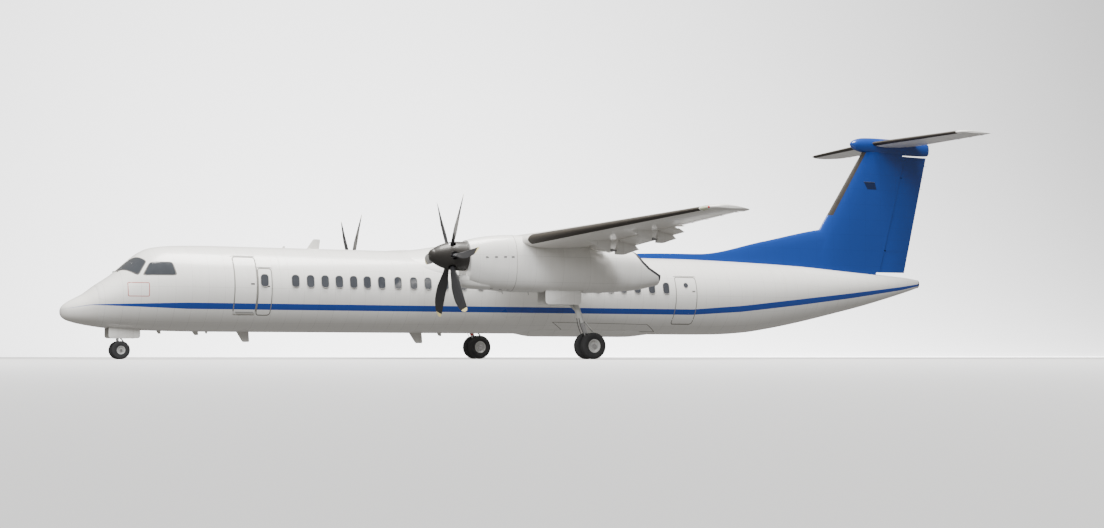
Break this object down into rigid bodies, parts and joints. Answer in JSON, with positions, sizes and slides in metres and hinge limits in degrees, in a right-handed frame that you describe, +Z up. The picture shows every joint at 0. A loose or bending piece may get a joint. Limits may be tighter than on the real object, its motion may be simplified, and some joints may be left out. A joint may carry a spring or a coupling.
{
  "type": "turboprop airliner",
  "caption": "High-wing T-tailed turboprop airliner on its landing gear, with turning propellers and wheels, drop-down airstair, flaps and control surfaces.",
  "frame": {"origin": "on the ground, under the middle of the aeroplane's box, as it stands on its wheels", "axes": "+X towards the nose, +Y to port, +Z up"},
  "size_m": [32.84, 28.42, 8.36],
  "materials": {
    "white_paint": "gloss white polyurethane paint on aluminium skin",
    "blue_paint": "gloss blue polyurethane paint",
    "radome_paint": "painted glass-fibre radome",
    "glass": "dark heated windscreen glass",
    "spinner_paint": "gloss black",
    "blade_composite": "dark grey composite blade with pale tips",
    "tyre": "ribbed aircraft tyre",
    "gear_paint": "pale grey enamel with bright chromed piston",
    "wheel_metal": "forged aluminium rim",
    "engine_metal": "plain block standing for the engine and gearbox"
  },
  "bodies": {
    "airframe": {"radome": "radome_paint", "fuselage_forward": "white_paint", "fuselage_centre": "white_paint", "fuselage_aft": "white_paint", "tail_cone": "white_paint", "ventral_fairing": "white_paint", "wing_body_fairing": "white_paint", "wing_centre": "white_paint", "tailplane": "white_paint", "forward_exit_left": "white_paint", "forward_exit_right": "white_paint", "rear_door_left": "white_paint", "rear_door_right": "white_paint", "wing_left": "white_paint", "wing_right": "white_paint", "nacelle_left": "white_paint", "nacelle_right": "white_paint", "cowling_left": "white_paint", "cowling_right": "white_paint", "nose_door_left": "white_paint", "nose_door_right": "white_paint", "main_door_outboard_left": "white_paint", "main_door_outboard_right": "white_paint", "main_door_inboard_left": "white_paint", "main_door_inboard_right": "white_paint", "windscreen_left": "glass", "windscreen_right": "glass", "side_window_left": "glass", "side_window_right": "glass", "fin": "blue_paint", "bullet_fairing": "blue_paint", "nose_leg": "gear_paint", "main_leg_left": "gear_paint", "main_leg_right": "gear_paint", "engine_left": "engine_metal", "engine_right": "engine_metal"},
    "airstair": {"airstair_door": "white_paint"},
    "rudder": {"rudder": "blue_paint"},
    "nose_steering": {"nose_steering_leg": "gear_paint"},
    "nose_wheels": {"nose_wheel_rims": "wheel_metal", "nose_tyre_left": "tyre", "nose_tyre_right": "tyre"},
    "propeller_left": {"propeller_left": "blade_composite", "spinner_left": "spinner_paint"},
    "main_wheels_left": {"main_wheel_rims_left": "wheel_metal", "main_tyre_outboard_left": "tyre", "main_tyre_inboard_left": "tyre"},
    "elevator_left": {"elevator_left": "white_paint"},
    "aileron_left": {"aileron_left": "white_paint"},
    "flap_outer_left": {"flap_outer_left": "white_paint"},
    "flap_inner_left": {"flap_inner_left": "white_paint"},
    "propeller_right": {"propeller_right": "blade_composite", "spinner_right": "spinner_paint"},
    "main_wheels_right": {"main_wheel_rims_right": "wheel_metal", "main_tyre_outboard_right": "tyre", "main_tyre_inboard_right": "tyre"},
    "elevator_right": {"elevator_right": "white_paint"},
    "aileron_right": {"aileron_right": "white_paint"},
    "flap_outer_right": {"flap_outer_right": "white_paint"},
    "flap_inner_right": {"flap_inner_right": "white_paint"}
  },
  "joints": [
    {"name": "propeller_left_spin", "type": "hinge", "parent": "airframe", "child": "propeller_left", "pos_m": [5.54, 4.4, 3.17], "axis": [1, 0, 0], "continuous": true},
    {"name": "main_wheels_left_roll", "type": "hinge", "parent": "airframe", "child": "main_wheels_left", "pos_m": [0.67, 4.4, 0.42], "axis": [0, 1, 0], "continuous": true},
    {"name": "propeller_right_spin", "type": "hinge", "parent": "airframe", "child": "propeller_right", "pos_m": [5.54, -4.4, 3.17], "axis": [1, 0, 0], "continuous": true},
    {"name": "main_wheels_right_roll", "type": "hinge", "parent": "airframe", "child": "main_wheels_right", "pos_m": [0.67, -4.4, 0.42], "axis": [0, 1, 0], "continuous": true},
    {"name": "nose_steering", "type": "hinge", "parent": "airframe", "child": "nose_steering", "pos_m": [14.67, 0, 0.28], "axis": [0, 0, 1], "range_deg": [-70, 70]},
    {"name": "nose_wheels_roll", "type": "hinge", "parent": "nose_steering", "child": "nose_wheels", "pos_m": [14.61, 0, 0.28], "axis": [0, 1, 0], "continuous": true},
    {"name": "airstair_hinge", "type": "hinge", "parent": "airframe", "child": "airstair", "pos_m": [11.035, 1.05937, 1.40084], "axis": [-1, 0, 0], "range_deg": [0, 134]},
    {"name": "rudder_hinge", "type": "hinge", "parent": "airframe", "child": "rudder", "pos_m": [-13.99523, 0, 3.26], "axis": [-0.2804, 0, 0.9599], "range_deg": [-18, 18]},
    {"name": "elevator_left_hinge", "type": "hinge", "parent": "airframe", "child": "elevator_left", "pos_m": [-15.17436, 4.33, 8.13], "axis": [0.0291, -0.9996, 0], "range_deg": [-26, 18]},
    {"name": "aileron_left_hinge", "type": "hinge", "parent": "airframe", "child": "aileron_left", "pos_m": [1.16633, 13.7, 4.06254], "axis": [-0.0072, -0.9989, -0.0457], "range_deg": [-20, 20]},
    {"name": "flap_outer_left_hinge", "type": "hinge", "parent": "airframe", "child": "flap_outer_left", "pos_m": [1.2581, 10.2, 3.56626], "axis": [0.0033, -0.9971, -0.0756], "range_deg": [-15, 20]},
    {"name": "flap_inner_left_hinge", "type": "hinge", "parent": "airframe", "child": "flap_inner_left", "pos_m": [1.275, 3.7, 3.17433], "axis": [0, -1, 0], "range_deg": [-15, 20]},
    {"name": "elevator_right_hinge", "type": "hinge", "parent": "airframe", "child": "elevator_right", "pos_m": [-15.06585, -0.6, 8.13], "axis": [-0.0291, -0.9996, 0], "range_deg": [-26, 18]},
    {"name": "aileron_right_hinge", "type": "hinge", "parent": "airframe", "child": "aileron_right", "pos_m": [1.1421, -10.33, 3.90839], "axis": [0.0072, -0.9989, 0.0457], "range_deg": [-20, 20]},
    {"name": "flap_outer_right_hinge", "type": "hinge", "parent": "airframe", "child": "flap_outer_right", "pos_m": [1.27484, -5.08, 3.17812], "axis": [-0.0033, -0.9971, 0.0756], "range_deg": [-15, 20]},
    {"name": "flap_inner_right_hinge", "type": "hinge", "parent": "airframe", "child": "flap_inner_right", "pos_m": [1.275, -1.15, 3.17433], "axis": [0, -1, 0], "range_deg": [-15, 20]}
  ],
  "couplings": [
    {"joint": "elevator_right_hinge", "follows": "elevator_left_hinge", "ratio": 1},
    {"joint": "aileron_right_hinge", "follows": "aileron_left_hinge", "ratio": -1},
    {"joint": "flap_inner_left_hinge", "follows": "flap_outer_left_hinge", "ratio": 1},
    {"joint": "flap_outer_right_hinge", "follows": "flap_outer_left_hinge", "ratio": 1},
    {"joint": "flap_inner_right_hinge", "follows": "flap_outer_left_hinge", "ratio": 1}
  ]
}
